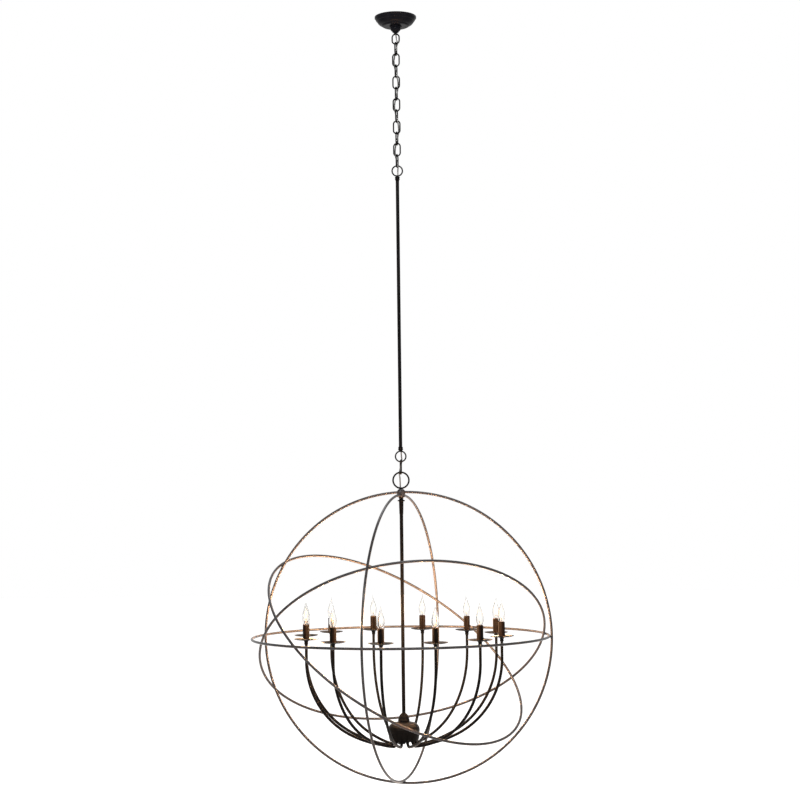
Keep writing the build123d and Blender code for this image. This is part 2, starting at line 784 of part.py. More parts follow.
base_upper = sleeve_top - bulb_base_drop
base_lower = base_upper - bulb_base_length
socket_radius = socket_dia / 2
socket_hole = bulb_base_dia / 2 + part_gap
socket_floor = base_lower - face_gap
light_pieces(
    turned(
        (arm_hole, light_low),
        (socket_radius, light_low),
        (socket_radius, light_low + socket_height - 1),
        (socket_radius - 1, light_low + socket_height),
        (socket_hole, light_low + socket_height),
        (socket_hole, socket_floor),
        (0, socket_floor),
        (0, arm_top + face_gap),
        (arm_hole, arm_top + face_gap),
    ),
    "lamp_sockets",
)

light_pieces(
    turned(
        (0, base_lower),
        (2.2, base_lower),
        (bulb_base_dia / 2, base_lower + 4),
        (bulb_base_dia / 2, base_upper),
        (0, base_upper),
    ),
    "bulb_bases",
)

glass_low = base_upper + face_gap
belly_height = glass_low + bulb_length * 0.36
bulb_radius = bulb_dia / 2
neck_radius = bulb_base_dia / 2
tip_height = glass_low + bulb_length
light_pieces(
    turned(
        (neck_radius - bulb_glass_wall, glass_low),
        (neck_radius, glass_low),
        (neck_radius + 0.6, glass_low + 6),
        ((bulb_radius - 2.6, glass_low + 18), (bulb_radius, belly_height)),
        ((bulb_radius - 2.2, belly_height + 17), (bulb_radius * 0.45, belly_height + 35)),
        ((bulb_radius * 0.2, tip_height - 10), (1.2, tip_height - 1)),
        (0, tip_height),
        (0, tip_height - 6),
        ((bulb_radius * 0.2 - 0.5, tip_height - 15), (bulb_radius * 0.45 - bulb_glass_wall, belly_height + 34)),
        ((bulb_radius - 2.2 - bulb_glass_wall, belly_height + 17), (bulb_radius - bulb_glass_wall, belly_height)),
        ((bulb_radius - 2.6 - bulb_glass_wall, glass_low + 18), (neck_radius + 0.6 - bulb_glass_wall, glass_low + 6)),
    ),
    "bulb_glass",
)

# ----------------------------------------------------------------------- supply cable


def woven_point(height, quarter_turns, turn, half_corner=45):
    """Where the cable passes a joint, a quarter turn on each time: as far from the one
    wire as from the other. The half corner is half the angle between the two wires."""
    azimuth = radians(45 + 90 * quarter_turns + turn)
    reach = cable_offset / sin(radians(half_corner))
    return (reach * cos(azimuth), reach * sin(azimuth), height)


chain_joints = [loop_low + hang / 2 - n * link_pitch for n in range(link_count + 1)]
route = [(0, 0, 0), (0, 0, loop_top - 12)]
route += [woven_point(height, n, chain_turn) for n, height in enumerate(chain_joints)]
route += [(0, 0, upper_ring_low + 11), (0, 0, lower_ring_top - 9)]
half_turn = connecting_link_turn / 2
route += [
    woven_point(lower_ring_low + hang / 2, 0, half_turn, 45 + half_turn),
    woven_point((connecting_low + orb_ring_top) / 2, 1, half_turn, 45 - half_turn),
    (0, 0, orb_ring_top - 31),
    (0, 0, splice_top + face_gap),
]
corners = [Vector(*point) for point in route]
weave_ends = [corners[2], corners[2 + link_count], corners[-4], corners[-3]]
bend_radii = []
for before, corner, after in zip(corners, corners[1:], corners[2:]):
    turn = (corner - before).get_angle(after - corner)
    shorter = min((corner - before).length, (after - corner).length)
    largest = cable_end_bend if corner in weave_ends else cable_bend
    bend_radii.append(min(largest, 0.45 * shorter / tan(radians(turn / 2))))
print("cable bend radii", [round(radius, 1) for radius in bend_radii])

with BuildPart() as supply_cable:
    with BuildLine() as cable_route:
        FilletPolyline(*route, radius=bend_radii)
    with BuildSketch(Plane(origin=(0, 0, 0), z_dir=(0, 0, -1))):
        Circle(cable_dia / 2)
    sweep()
cable_length = cable_route.wire().length
print("cable length", round(cable_length, 1))
print("cable volume over section times length", supply_cable.part.volume / (pi * cable_dia**2 / 4 * cable_length))
keep(supply_cable.part, "supply_cable")
print("orb centre", round(orb_centre, 2), "lowest point", round(orb_centre - outer_ring_radius - ring_rod_dia / 2, 2))
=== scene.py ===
import json
import math

import bmesh
import bpy
from mathutils import Matrix, Vector

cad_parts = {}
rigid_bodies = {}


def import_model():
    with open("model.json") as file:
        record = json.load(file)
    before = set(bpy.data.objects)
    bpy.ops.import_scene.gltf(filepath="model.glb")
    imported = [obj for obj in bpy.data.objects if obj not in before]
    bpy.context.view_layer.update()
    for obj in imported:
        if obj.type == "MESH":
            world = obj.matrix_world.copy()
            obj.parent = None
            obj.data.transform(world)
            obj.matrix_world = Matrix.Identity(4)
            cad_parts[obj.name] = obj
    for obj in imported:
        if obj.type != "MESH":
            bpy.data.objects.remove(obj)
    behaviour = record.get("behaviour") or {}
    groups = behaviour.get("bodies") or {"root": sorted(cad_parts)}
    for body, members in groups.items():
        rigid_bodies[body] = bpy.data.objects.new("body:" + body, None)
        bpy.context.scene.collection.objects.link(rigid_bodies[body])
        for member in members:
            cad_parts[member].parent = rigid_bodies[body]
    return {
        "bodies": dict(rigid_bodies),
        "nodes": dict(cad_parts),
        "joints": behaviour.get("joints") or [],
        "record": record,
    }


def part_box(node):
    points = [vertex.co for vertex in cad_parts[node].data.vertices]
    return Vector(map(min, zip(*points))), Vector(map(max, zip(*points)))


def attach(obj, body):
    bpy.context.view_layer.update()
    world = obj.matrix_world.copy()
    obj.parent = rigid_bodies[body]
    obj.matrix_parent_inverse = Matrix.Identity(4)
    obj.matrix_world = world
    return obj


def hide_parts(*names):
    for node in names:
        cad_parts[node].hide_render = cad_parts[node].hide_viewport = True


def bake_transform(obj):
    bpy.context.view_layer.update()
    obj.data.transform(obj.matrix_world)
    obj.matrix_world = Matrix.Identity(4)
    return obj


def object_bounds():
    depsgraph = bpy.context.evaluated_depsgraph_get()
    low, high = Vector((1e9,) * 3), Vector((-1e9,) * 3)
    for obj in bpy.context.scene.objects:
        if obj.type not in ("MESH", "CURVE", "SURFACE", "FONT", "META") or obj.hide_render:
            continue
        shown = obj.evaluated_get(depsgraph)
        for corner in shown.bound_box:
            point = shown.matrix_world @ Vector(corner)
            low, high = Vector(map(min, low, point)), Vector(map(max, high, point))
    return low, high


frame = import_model()
cad_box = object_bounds()

# Metres and degrees unless a comment says otherwise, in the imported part's frame: +Z up,
# with the origin on the ceiling plane and the hanging axis. The camera looks along +Y.

MM = 0.001
WHITE = (1.0, 1.0, 1.0, 1.0)
SAME_PLACE = 1e-6
TINY = 1e-9

# Camera, solved from the photograph's ring ellipses
CAMERA_DISTANCE = 6.096
CAMERA_ABOVE_ORB = 0.454
CAMERA_PITCH = 0.0626         # radians
CAMERA_ROLL = -0.01206        # radians
CAMERA_LENS = 77.31           # millimetres
SENSOR_WIDTH = 36.0           # millimetres

# The cage, as the part has it
RING_ROD = 9.0 * MM
OUTER_RADIUS = 509.0 * MM
OUTER_SHIFT = 15.0 * MM       # along the ring's own plane
OUTER_AZIMUTH = 81.9
RING_OPENING = 16.8 * MM      # in the upright rings, inside the pole hub
HUB_TO_OUTER_RING = 11.2 * MM
POLE_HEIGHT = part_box("pole_hub")[1].z - HUB_TO_OUTER_RING
ORB_CENTRE = POLE_HEIGHT - math.sqrt(OUTER_RADIUS**2 - OUTER_SHIFT**2)
RING_STEPS = 288
RING_SIDES = 16

# The candle lights, as the part has them
LIGHT_COUNT = 12
FIRST_AZIMUTH = 18.0
LIGHT_RADIUS = 352.0 * MM
LIGHT_SPIN = 2.4              # radians from one bulb's bent tip to the next one's
GLASS_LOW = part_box("bulb_glass")[0].z
GLASS_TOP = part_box("bulb_glass")[1].z
BULB_HEIGHT = GLASS_TOP - GLASS_LOW

# The bulbs' glass and what is inside it. Shares are of the bulb's height.
GLASS_WALL = 0.6 * MM
GLASS_SIDES = 28
GLASS_STEPS = 6               # between two points of its shape
HOLLOW_END_WALLS = 1.8        # the hollow ends where the bulb's radius is this many walls
HOLLOW_TIP = 1.5 * MM
TIP_BEND = 3.2 * MM
TIP_BEND_FROM = 0.62          # share
MOUNT_SIDES = 14
MOUNT_STEPS = 3
LEAD_RADIUS = 0.25 * MM
LEAD_SIDES = 6
FILAMENT_REACH = 4.8 * MM     # from the bulb's axis to each lead wire's head
FILAMENT_FOOT = 0.4           # share where the lead wires end
FILAMENT_RISE = 6.5 * MM
FILAMENT_TURNS = 60
FILAMENT_STEPS = 6            # in each turn
FILAMENT_COIL = 0.35 * MM     # radius of the coil
FILAMENT_RADIUS = 0.12 * MM   # of its wire
FILAMENT_SIDES = 4
GLASS_SHAPE = [
    # radius in millimetres, share
    (5.2, 0.0),
    (5.9, 0.06),
    (8.6, 0.13),
    (12.2, 0.22),
    (13.9, 0.33),
    (13.4, 0.44),
    (10.9, 0.56),
    (7.6, 0.68),
    (4.7, 0.79),
    (2.7, 0.88),
    (1.5, 0.95),
    (0.7, 0.985),
    (0.0, 1.0),
]
MOUNT_SHAPE = [
    # radius in millimetres, share
    (3.4, 0.0),
    (3.2, 0.03),
    (1.9, 0.08),
    (1.6, 0.2),
    (2.2, 0.235),
    (1.1, 0.262),
    (0.0, 0.27),
]
LEAD_SHAPE = [
    # from the bulb's axis, share, height above it
    (0.9 * MM, 0.2, 0.0),
    (1.6 * MM, 0.2, 4.0 * MM),
    (4.4 * MM, FILAMENT_FOOT, -4.0 * MM),
    (FILAMENT_REACH, FILAMENT_FOOT, 0.0),
]

# The chain and the cable's route, as the part has them
JOINT_HEIGHTS = [joint["pos_m"][2] for joint in frame["joints"]]
LINK_COUNT = 11
LOOP_LENGTH = 36.5 * MM       # of the canopy's loop, between its wire's middles
ROD_RING = 37.0 * MM          # the rod's rings, between their wire's middles
HANG = 5.3 * MM               # a wire's middle to that of the wire that hangs on it
ORB_HANG = 5.8 * MM           # the same where the orb's thicker ring hangs
CABLE_DIAMETER = 5.0 * MM
CABLE_SIDES = 12
CABLE_OFFSET = 6.6 * MM       # from the hanging axis, both ways, where it passes a joint

# From the wire of a loop or ring to where the cable leaves the hanging axis or comes
# back to it
LOOP_TO_AXIS = 12.0 * MM
UPPER_RING_TO_AXIS = 11.0 * MM
LOWER_RING_TO_AXIS = 9.0 * MM
ORB_RING_TO_AXIS = 31.0 * MM

# Lights, surround and floor
BULB_WATTS = 12.0
BULB_COLOUR = (1.0, 0.55, 0.27)
BULB_GLOW_RADIUS = 12.0 * MM
BULB_GLOW_HEIGHT = 0.42       # share of the bulb's height
SOFTBOXES = {
    # name: place, width and height, watts
    "key_softbox": ((-3.2, -4.4, -0.6), (1.4, 1.4), 60),
    "strip_softbox": ((0, -3.6, 0.2), (3.6, 0.3), 140),
    "fill_softbox": ((3.8, -3.4, -1.6), (1.4, 1.4), 30),
    "top_softbox": ((0.4, 1.2, 0.9), (2.2, 1.2), 60),
}
SURROUND_LIGHT = 0.35         # what the surround gives the object
SURROUND_WHITE = 1.0          # what the camera, metal and glass see of it
FLOOR_WHITE = 0.78            # what the same rays see of the floor, over its own colour
FLOOR_REACH = 14.0
FLOOR_MIDDLE = 6.0            # behind the lamp
FLOOR_DROP = 0.35             # below the lamp


# ------------------------------------------------------------------------ materials

# Sockets of Blender's Mix node in its colour mode
MIX_FACTOR, MIX_FIRST, MIX_SECOND, MIX_RESULT = 0, 6, 7, 2


class Shader:
    """A node material with a Principled shader, and short ways to add nodes to it."""

    def __init__(self, name):
        self.material = bpy.data.materials.new(name)
        self.material.use_nodes = True
        self.tree = self.material.node_tree
        self.principled = self.tree.nodes["Principled BSDF"]
        self.output = self.tree.nodes["Material Output"]
        coordinates = self.node("ShaderNodeTexCoord").outputs
        self.place = coordinates["Object"]
        self.along = coordinates["UV"]

    def node(self, kind, **values):
        """Adds a node. Each value goes to its property, or else to its input."""
        made = self.tree.nodes.new(kind)
        for name, value in values.items():
            if hasattr(made, name):
                setattr(made, name, value)
            else:
                made.inputs[name.replace("_", " ").title()].default_value = value
        return made

    def link(self, source, target):
        self.tree.links.new(source, target)

    def fix(self, name, value):
        """Sets one of the Principled shader's own sockets."""
        self.principled.inputs[name].default_value = value

    def stretched(self, place, scale):
        """Coordinates taken so many times along each axis."""
        mapping = self.node("ShaderNodeMapping")
        mapping.inputs["Scale"].default_value = scale
        self.link(place, mapping.inputs["Vector"])
        return mapping.outputs["Vector"]

    def noise(self, scale, detail=3.0, roughness=0.55, place=None):
        """Noise over the surface, its scale in features per metre."""
        made = self.node("ShaderNodeTexNoise", scale=scale, detail=detail, roughness=roughness)
        self.link(place or self.place, made.inputs["Vector"])
        return made.outputs["Fac"]

    def ramp(self, factor, *stops):
        """A colour ramp of two stops, each a position and a grey level or a colour."""
        made = self.node("ShaderNodeValToRGB")
        for element, (position, colour) in zip(made.color_ramp.elements, stops):
            element.position = position
            if isinstance(colour, float):
                colour = (colour, colour, colour)
            element.color = (*colour, 1.0)
        self.link(factor, made.inputs["Fac"])
        return made.outputs["Color"]

    def mix(self, factor, first, second):
        """A mix of two colours, each a tuple or another node's output."""
        made = self.node("ShaderNodeMix", data_type="RGBA")
        self.link(factor, made.inputs[MIX_FACTOR])
        for value, number in ((first, MIX_FIRST), (second, MIX_SECOND)):
            if isinstance(value, tuple):
                made.inputs[number].default_value = (*value, 1.0)
            else:
                self.link(value, made.inputs[number])
        return made.outputs[MIX_RESULT]

    def bump(self, height, strength, distance):
        """Adds a bump on top of those that the material has."""
        made = self.node("ShaderNodeBump", strength=strength, distance=distance)
        self.link(height, made.inputs["Height"])
        if self.principled.inputs["Normal"].is_linked:
            earlier = self.principled.inputs["Normal"].links[0].from_socket
            self.link(earlier, made.inputs["Normal"])
        self.link(made.outputs["Normal"], self.principled.inputs["Normal"])

    def colour(self, socket):
        self.link(socket, self.principled.inputs["Base Color"])

    def roughness(self, factor, low, high, start=0.3, end=0.7):
        """Roughness that goes from low to high as the factor goes from start to end."""
        levels = self.ramp(factor, (start, low), (end, high))
        self.link(levels, self.principled.inputs["Roughness"])

    def surface_choice(self, factor, shader):
        """Shows another shader instead of the Principled one where the factor is 1."""
        chosen = self.node("ShaderNodeMixShader")
        for number, socket in enumerate((factor, self.principled.outputs[0], shader)):
            self.link(socket, chosen.inputs[number])
        self.link(chosen.outputs[0], self.output.inputs["Surface"])


def white_rays(tree):
    """1 for the rays that see the surround as white: camera, glossy and transmission."""
    path = tree.nodes.new("ShaderNodeLightPath")
    seen = path.outputs["Is Camera Ray"]
    for ray in ("Is Glossy Ray", "Is Transmission Ray"):
        either = tree.nodes.new("ShaderNodeMath")
        either.operation = "MAXIMUM"
        tree.links.new(seen, either.inputs[0])
        tree.links.new(path.outputs[ray], either.inputs[1])
        seen = either.outputs[0]
    return seen


def iron(name, dark, light, rough):
    """Satin black-brown paint on wrought iron, a little mottled and worn warm."""
    shader = Shader(name)
    mottle = shader.noise(38.0, detail=4.0)
    worn_places = shader.noise(9.0, detail=6.0, roughness=0.62)
    wear = shader.ramp(worn_places, (0.52, 0.0), (0.74, 1.0))
    worn = tuple(channel * factor for channel, factor in zip(light, (1.5, 1.25, 1.05)))
    shader.colour(shader.mix(wear, shader.mix(mottle, dark, light), worn))
    shader.roughness(shader.noise(120.0), *rough)
    shader.bump(shader.noise(900.0, detail=2.0), 0.25, 0.12 * MM)
    shader.bump(shader.noise(70.0, detail=2.0), 0.2, 0.25 * MM)
    shader.fix("Specular IOR Level", 0.03)
    return shader.material


def drawn_rod(name):
    """Rubbed gunmetal finish of the ring rods: dark pewter grey, paler where rubbed."""
    shader = Shader(name)
    drawn_lines = shader.stretched(shader.along, (14.0, 60.0, 1.0))
    drawn = shader.noise(1.0, detail=4.0, place=drawn_lines)
    cloud = shader.noise(16.0, detail=5.0, roughness=0.6)
    rubbed = shader.ramp(cloud, (0.35, 0.0), (0.68, 1.0))
    grey = shader.mix(drawn, (0.018, 0.018, 0.0195), (0.034, 0.034, 0.037))
    shader.colour(shader.mix(rubbed, grey, (0.04, 0.035, 0.033)))
    shader.roughness(drawn, 0.24, 0.36, end=0.75)
    shader.bump(drawn, 0.35, 0.06 * MM)
    shader.bump(shader.noise(420.0, detail=2.0), 0.15, 0.1 * MM)
    shader.fix("Metallic", 0.5)
    shader.fix("Specular IOR Level", 0.12)
    return shader.material


def plated(name):
    """Zinc-plated steel of the hidden fittings, with faint spangle."""
    shader = Shader(name)
    spangle = shader.noise(260.0, detail=2.0)
    shader.colour(shader.mix(spangle, (0.5, 0.48, 0.42), (0.66, 0.64, 0.58)))
    shader.roughness(shader.noise(90.0), 0.26, 0.44)
    shader.bump(spangle, 0.1, 0.05 * MM)
    shader.fix("Metallic", 1.0)
    return shader.material


def nickelled_brass(name):
    """The bulbs' screw caps: thin brass with a nickel wash and fine turned lines."""
    shader = Shader(name)
    tone = shader.noise(150.0, detail=3.0)
    shader.colour(shader.mix(tone, (0.62, 0.5, 0.3), (0.78, 0.7, 0.52)))
    shader.roughness(tone, 0.2, 0.38)
    turned_lines = shader.stretched(shader.place, (30.0, 30.0, 3000.0))
    shader.bump(shader.noise(1.0, detail=1.0, place=turned_lines), 0.3, 0.08 * MM)
    shader.fix("Metallic", 1.0)
    return shader.material


def phenolic(name):
    """Brown-black moulded plastic of the lamp sockets and the wire splice."""
    shader = Shader(name)
    speckle = shader.noise(500.0, detail=2.0)
    shader.colour(shader.mix(speckle, (0.02, 0.015, 0.012), (0.05, 0.036, 0.026)))
    shader.roughness(shader.noise(60.0), 0.34, 0.5)
    shader.bump(speckle, 0.1, 0.05 * MM)
    return shader.material


def cord_sheath(name):
    """Clear plastic over twisted grey strands, as the cord shows in the chain."""
    shader = Shader(name)
    wave = shader.node(
        "ShaderNodeTexWave",
        wave_type="BANDS",
        bands_direction="DIAGONAL",
        scale=1.0,
        distortion=0.6,
    )
    shader.link(shader.stretched(shader.along, (90.0, 1.0, 1.0)), wave.inputs["Vector"])
    twist = wave.outputs["Fac"]
    groove, strand = (0.05, 0.049, 0.047), (0.11, 0.107, 0.104)
    shader.colour(shader.ramp(twist, (0.25, groove), (0.75, strand)))
    shader.roughness(shader.noise(200.0), 0.22, 0.34)
    shader.bump(twist, 0.3, 0.15 * MM)
    shader.fix("Metallic", 0.35)
    return shader.material


def bulb_clear_glass(name):
    """Clear glass. Shadow rays pass it, and its wall greys where it is seen edge-on."""
    shader = Shader(name)
    thickness = shader.noise(55.0, detail=2.0)
    shader.colour(shader.mix(thickness, (0.975, 0.968, 0.95), (0.985, 0.98, 0.97)))
    shader.roughness(thickness, 0.0, 0.03, end=0.8)
    shader.bump(thickness, 0.08, 0.3 * MM)
    shader.fix("IOR", 1.45)
    shader.fix("Transmission Weight", 1.0)
    clear = shader.node("ShaderNodeBsdfTransparent")
    path = shader.node("ShaderNodeLightPath")
    shader.surface_choice(path.outputs["Is Shadow Ray"], clear.outputs[0])
    wall = shader.node("ShaderNodeVolumeAbsorption", density=380.0)
    wall.inputs["Color"].default_value = (0.5, 0.5, 0.49, 1.0)
    shader.link(wall.outputs[0], shader.output.inputs["Volume"])
    return shader.material


def glowing(name, colour, strength):
    """A lit filament, a little uneven along its length."""
    shader = Shader(name)
    uneven = shader.noise(700.0, detail=1.0)
    shader.colour(shader.mix(uneven, (0.9, 0.55, 0.25), (1.0, 0.75, 0.45)))
    shader.roughness(uneven, 0.4, 0.6)
    shader.fix("Emission Color", (*colour, 1.0))
    shader.fix("Emission Strength", strength)
    return shader.material


def white_ground(name):
    """Pale floor that the camera and reflections see as white, and that keeps shadows."""
    shader = Shader(name)
    grain = shader.noise(3.0, detail=2.0)
    shader.colour(shader.mix(grain, (0.86, 0.86, 0.86), (0.88, 0.88, 0.88)))
    shader.fix("Roughness", 0.9)
    white = shader.node("ShaderNodeEmission", strength=FLOOR_WHITE)
    white.inputs["Color"].default_value = WHITE
    both = shader.node("ShaderNodeAddShader")
    shader.link(shader.principled.outputs[0], both.inputs[0])
    shader.link(white.outputs[0], both.inputs[1])
    shader.surface_choice(white_rays(shader.tree), both.outputs[0])
    return shader.material


BLACK_IRON = iron(
    "black_iron",
    dark=(0.0012, 0.00115, 0.0012),
    light=(0.0028, 0.0026, 0.0026),
    rough=(0.3, 0.44),
)
CANOPY_IRON = iron(
    "canopy_iron",
    dark=(0.002, 0.0021, 0.0032),
    light=(0.0045, 0.0049, 0.0075),
    rough=(0.26, 0.36),
)
CHAIN_IRON = iron(
    "chain_iron",
    dark=(0.002, 0.0019, 0.002),
    light=(0.0045, 0.0042, 0.0044),
    rough=(0.26, 0.4),
)
BRONZE_SLEEVE = iron(
    "sleeve_bronze",
    dark=(0.002, 0.0013, 0.0009),
    light=(0.0045, 0.0026, 0.0017),
    rough=(0.4, 0.58),
)
RING_METAL = drawn_rod("ring_gunmetal")
PLATED = plated("zinc_plate")
BRASS = nickelled_brass("bulb_cap_brass")
PHENOLIC = phenolic("moulded_phenolic")
CORD = cord_sheath("cord_sheath")
GLASS = bulb_clear_glass("bulb_clear_glass")
FILAMENT = glowing("lit_filament", (1.0, 0.9, 0.76), 4.0)
LEAD_WIRE = plated("lead_wire")

SLOT_LOOKS = {
    "iron": BLACK_IRON,
    "canopy_metal": CANOPY_IRON,
    "chain_iron": CHAIN_IRON,
    "plated_steel": PLATED,
    "sleeve_metal": BRONZE_SLEEVE,
    "socket_plastic": PHENOLIC,
    "bulb_brass": BRASS,
    "cable_sheath": CORD,
    "bulb_glass": GLASS,
}
RING_LIKE = ("pole_hub", "ring_welds")  # nodes of the slot iron that join the rings


def dress_nodes():
    """Gives each node its slot's material, and the rings' finish to what joins them."""
    slots = {part["node"]: part["material_slot"] for part in frame["record"]["subparts"]}
    for name, node in frame["nodes"].items():
        node.data.materials.clear()
        node.data.materials.append(RING_METAL if name in RING_LIKE else SLOT_LOOKS[slots[name]])


# --------------------------------------------------------------------- mesh makers


def add_object(name, data):
    """A new object in the scene for a mesh, curve, light or camera."""
    made = bpy.data.objects.new(name, data)
    bpy.context.scene.collection.objects.link(made)
    return made


def new_piece(name, bm, look, body=None, replaced=()):
    """A smooth piece with its material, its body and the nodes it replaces."""
    bmesh.ops.recalc_face_normals(bm, faces=bm.faces)
    mesh = bpy.data.meshes.new(name)
    bm.to_mesh(mesh)
    bm.free()
    mesh.materials.append(look)
    for polygon in mesh.polygons:
        polygon.use_smooth = True
    piece = add_object(name, mesh)
    if body:
        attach(piece, body)
    if replaced:
        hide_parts(*replaced)
    return piece


def tube_into(bm, points, radius, sides, closed=False):
    """Adds a round tube along the points to a mesh, with its length and turn as UVs."""
    layer = bm.loops.layers.uv.verify()
    count = len(points)
    side = (points[1] - points[0]).normalized().orthogonal().normalized()
    travelled = 0.0
    rims = []
    lengths = []
    for number, point in enumerate(points):
        if closed:
            ahead, behind = points[(number + 1) % count], points[number - 1]
        else:
            ahead, behind = points[min(number + 1, count - 1)], points[max(number - 1, 0)]
        heading = (ahead - behind).normalized()
        side = (side - heading * side.dot(heading)).normalized()
        other = heading.cross(side)
        rim = []
        for turn in range(sides):
            angle = 2 * math.pi * turn / sides
            corner = point + side * radius * math.cos(angle)
            rim.append(bm.verts.new(corner + other * radius * math.sin(angle)))
        rims.append(rim)
        if number:
            travelled += (point - points[number - 1]).length
        lengths.append(travelled)
    for number in range(count if closed else count - 1):
        after = (number + 1) % count
        offset, end_length = 0, lengths[after]
        if after == 0:
            offset = best_match(rims[number], rims[0])
            end_length = travelled + (points[0] - points[-1]).length
        for turn in range(sides):
            following = (turn + 1) % sides
            face = bm.faces.new(
                (
                    rims[number][turn],
                    rims[number][following],
                    rims[after][(following + offset) % sides],
                    rims[after][(turn + offset) % sides],
                )
            )
            low, high = turn / sides, (turn + 1) / sides
            marks = (
                (lengths[number], low),
                (lengths[number], high),
                (end_length, high),
                (end_length, low),
            )
            for loop, mark in zip(face.loops, marks):
                loop[layer].uv = mark
    if not closed:
        bm.faces.new(list(reversed(rims[0])))
        bm.faces.new(rims[-1])


def best_match(rim, first):
    """How many corners to turn the first rim so that it meets this one untwisted."""
    return min(range(len(first)), key=lambda turn: (rim[0].co - first[turn].co).length)


def lathe_into(bm, outline, place, sides, lean=None):
    """Adds a turned form to a mesh. The outline is pairs of radius and height."""
    rims = []
    for radius, height in outline:
        shift = lean(height) if lean else Vector((0, 0, 0))
        if radius < SAME_PLACE:
            rims.append([bm.verts.new(place @ (Vector((0, 0, height)) + shift))])
            continue
        rim = []
        for turn in range(sides):
            angle = 2 * math.pi * turn / sides
            corner = Vector((radius * math.cos(angle), radius * math.sin(angle), height))
            rim.append(bm.verts.new(place @ (corner + shift)))
        rims.append(rim)
    for low, high in zip(rims, rims[1:]):
        for turn in range(sides):
            following = (turn + 1) % sides
            corners = [low[turn % len(low)], low[following % len(low)]]
            corners += [high[following % len(high)], high[turn % len(high)]]
            unique = list(dict.fromkeys(corners))
            if len(unique) > 2:
                bm.faces.new(unique)


def curve_point(before, start, end, after, share):
    """A Catmull-Rom curve's point, a share of the way from start to end."""
    return tuple(
        0.5
        * (
            2 * b
            + (c - a) * share
            + (2 * a - 5 * b + 4 * c - d) * share**2
            + (3 * b - a - 3 * c + d) * share**3
        )
        for a, b, c, d in zip(before, start, end, after)
    )


def smooth_outline(points, steps):
    """More points along a smooth curve through the given ones."""
    result = []
    for number in range(len(points) - 1):
        before = points[max(number - 1, 0)]
        start, end = points[number], points[number + 1]
        after = points[min(number + 2, len(points) - 1)]
        for step in range(steps):
            result.append(curve_point(before, start, end, after, step / steps))
    return result + [points[-1]]


# --------------------------------------------------------------------------- rings


def lean_axis(tilt, azimuth):
    """Unit vector that leans from +Z by the tilt, towards the azimuth."""
    tilt, azimuth = math.radians(tilt), math.radians(azimuth)
    outwards = math.sin(tilt)
    return Vector((outwards * math.cos(azimuth), outwards * math.sin(azimuth), math.cos(tilt)))


RINGS = {
    # name: radius, tilt, azimuth, centre's shift, opening at the upper pole
    "outer_upright_ring": (
        OUTER_RADIUS,
        90,
        OUTER_AZIMUTH,
        lean_axis(90, OUTER_AZIMUTH - 90) * OUTER_SHIFT,
        RING_OPENING,
    ),
    "inner_upright_ring": (
        OUTER_RADIUS - 9.7 * MM,
        90,
        -15.6,
        Vector((0, 0, 0)),
        RING_OPENING,
    ),
    "level_ring": (
        OUTER_RADIUS + 13.5 * MM,
        0,
        0,
        Vector((-8, 0, 0)) * MM,
        0,
    ),
    "near_tilted_ring": (
        OUTER_RADIUS - 5 * MM,
        38.1,
        -38.2,
        Vector((-21, -1.5, -29.5)) * MM,
        0,
    ),
    "far_tilted_ring": (
        OUTER_RADIUS - 4 * MM,
        37.2,
        101.2,
        Vector((0.5, 0, -27.5)) * MM,
        0,
    ),
}


def cage_ring(name):
    """A ring's rod, round and smooth, in the place of its plainer solid."""
    radius, tilt, azimuth, shift, opening = RINGS[name]
    axis = lean_axis(tilt, azimuth)
    centre = Vector((0, 0, ORB_CENTRE)) + shift
    if opening:
        towards_pole = Vector((0, 0, POLE_HEIGHT)) - centre
        first = (towards_pole - axis * towards_pole.dot(axis)).normalized()
    else:
        first = axis.orthogonal().normalized()
    gap = opening / radius
    points = []
    for step in range(RING_STEPS + (1 if opening else 0)):
        angle = gap / 2 + (2 * math.pi - gap) * step / RING_STEPS
        points.append(centre + Matrix.Rotation(angle, 3, axis) @ first * radius)
    bm = bmesh.new()
    tube_into(bm, points, RING_ROD / 2, RING_SIDES, closed=not opening)
    new_piece(name + "_rod", bm, RING_METAL, "orb", [name])


# --------------------------------------------------------------------------- bulbs


def light_places():
    """Each light's number, and its place: a turn, a step outwards and a turn in place."""
    for number in range(LIGHT_COUNT):
        azimuth = math.radians(FIRST_AZIMUTH + number * 360 / LIGHT_COUNT)
        turn = Matrix.Rotation(azimuth, 4, "Z")
        spin = Matrix.Rotation(number * LIGHT_SPIN, 4, "Z")
        yield number, turn @ Matrix.Translation((LIGHT_RADIUS, 0, 0)) @ spin


def bulb_height(share):
    """The height at a share of the bulb, from its foot."""
    return GLASS_LOW + share * BULB_HEIGHT


def bulb_outline(shape, steps):
    """A shape's outline in metres, smoothed by so many steps between its points."""
    return smooth_outline([(radius * MM, bulb_height(share)) for radius, share in shape], steps)


def glass_outline():
    """The hollow glass in section: down the inside and then up the outside."""
    outline = bulb_outline(GLASS_SHAPE, GLASS_STEPS)
    outer = [(max(radius, 0.0), height) for radius, height in outline]
    outer[-1] = (0.0, GLASS_TOP)
    thinnest = GLASS_WALL * HOLLOW_END_WALLS
    inner = [(radius - GLASS_WALL, height) for radius, height in outer if radius > thinnest]
    inner.append((0.0, inner[-1][1] + HOLLOW_TIP))
    return list(reversed(inner)) + outer


def tip_lean(height):
    """The tip's bend: nothing below, and a few millimetres to one side at the top."""
    above = max(0.0, (height - GLASS_LOW) / BULB_HEIGHT - TIP_BEND_FROM)
    share = above / (1 - TIP_BEND_FROM)
    return Vector((TIP_BEND * share**2, 0, 0))


def lead_line(side):
    """One of the two wires that stand in the mount and hold the filament's ends."""
    return [Vector((side * out, 0, bulb_height(share) + up)) for out, share, up in LEAD_SHAPE]


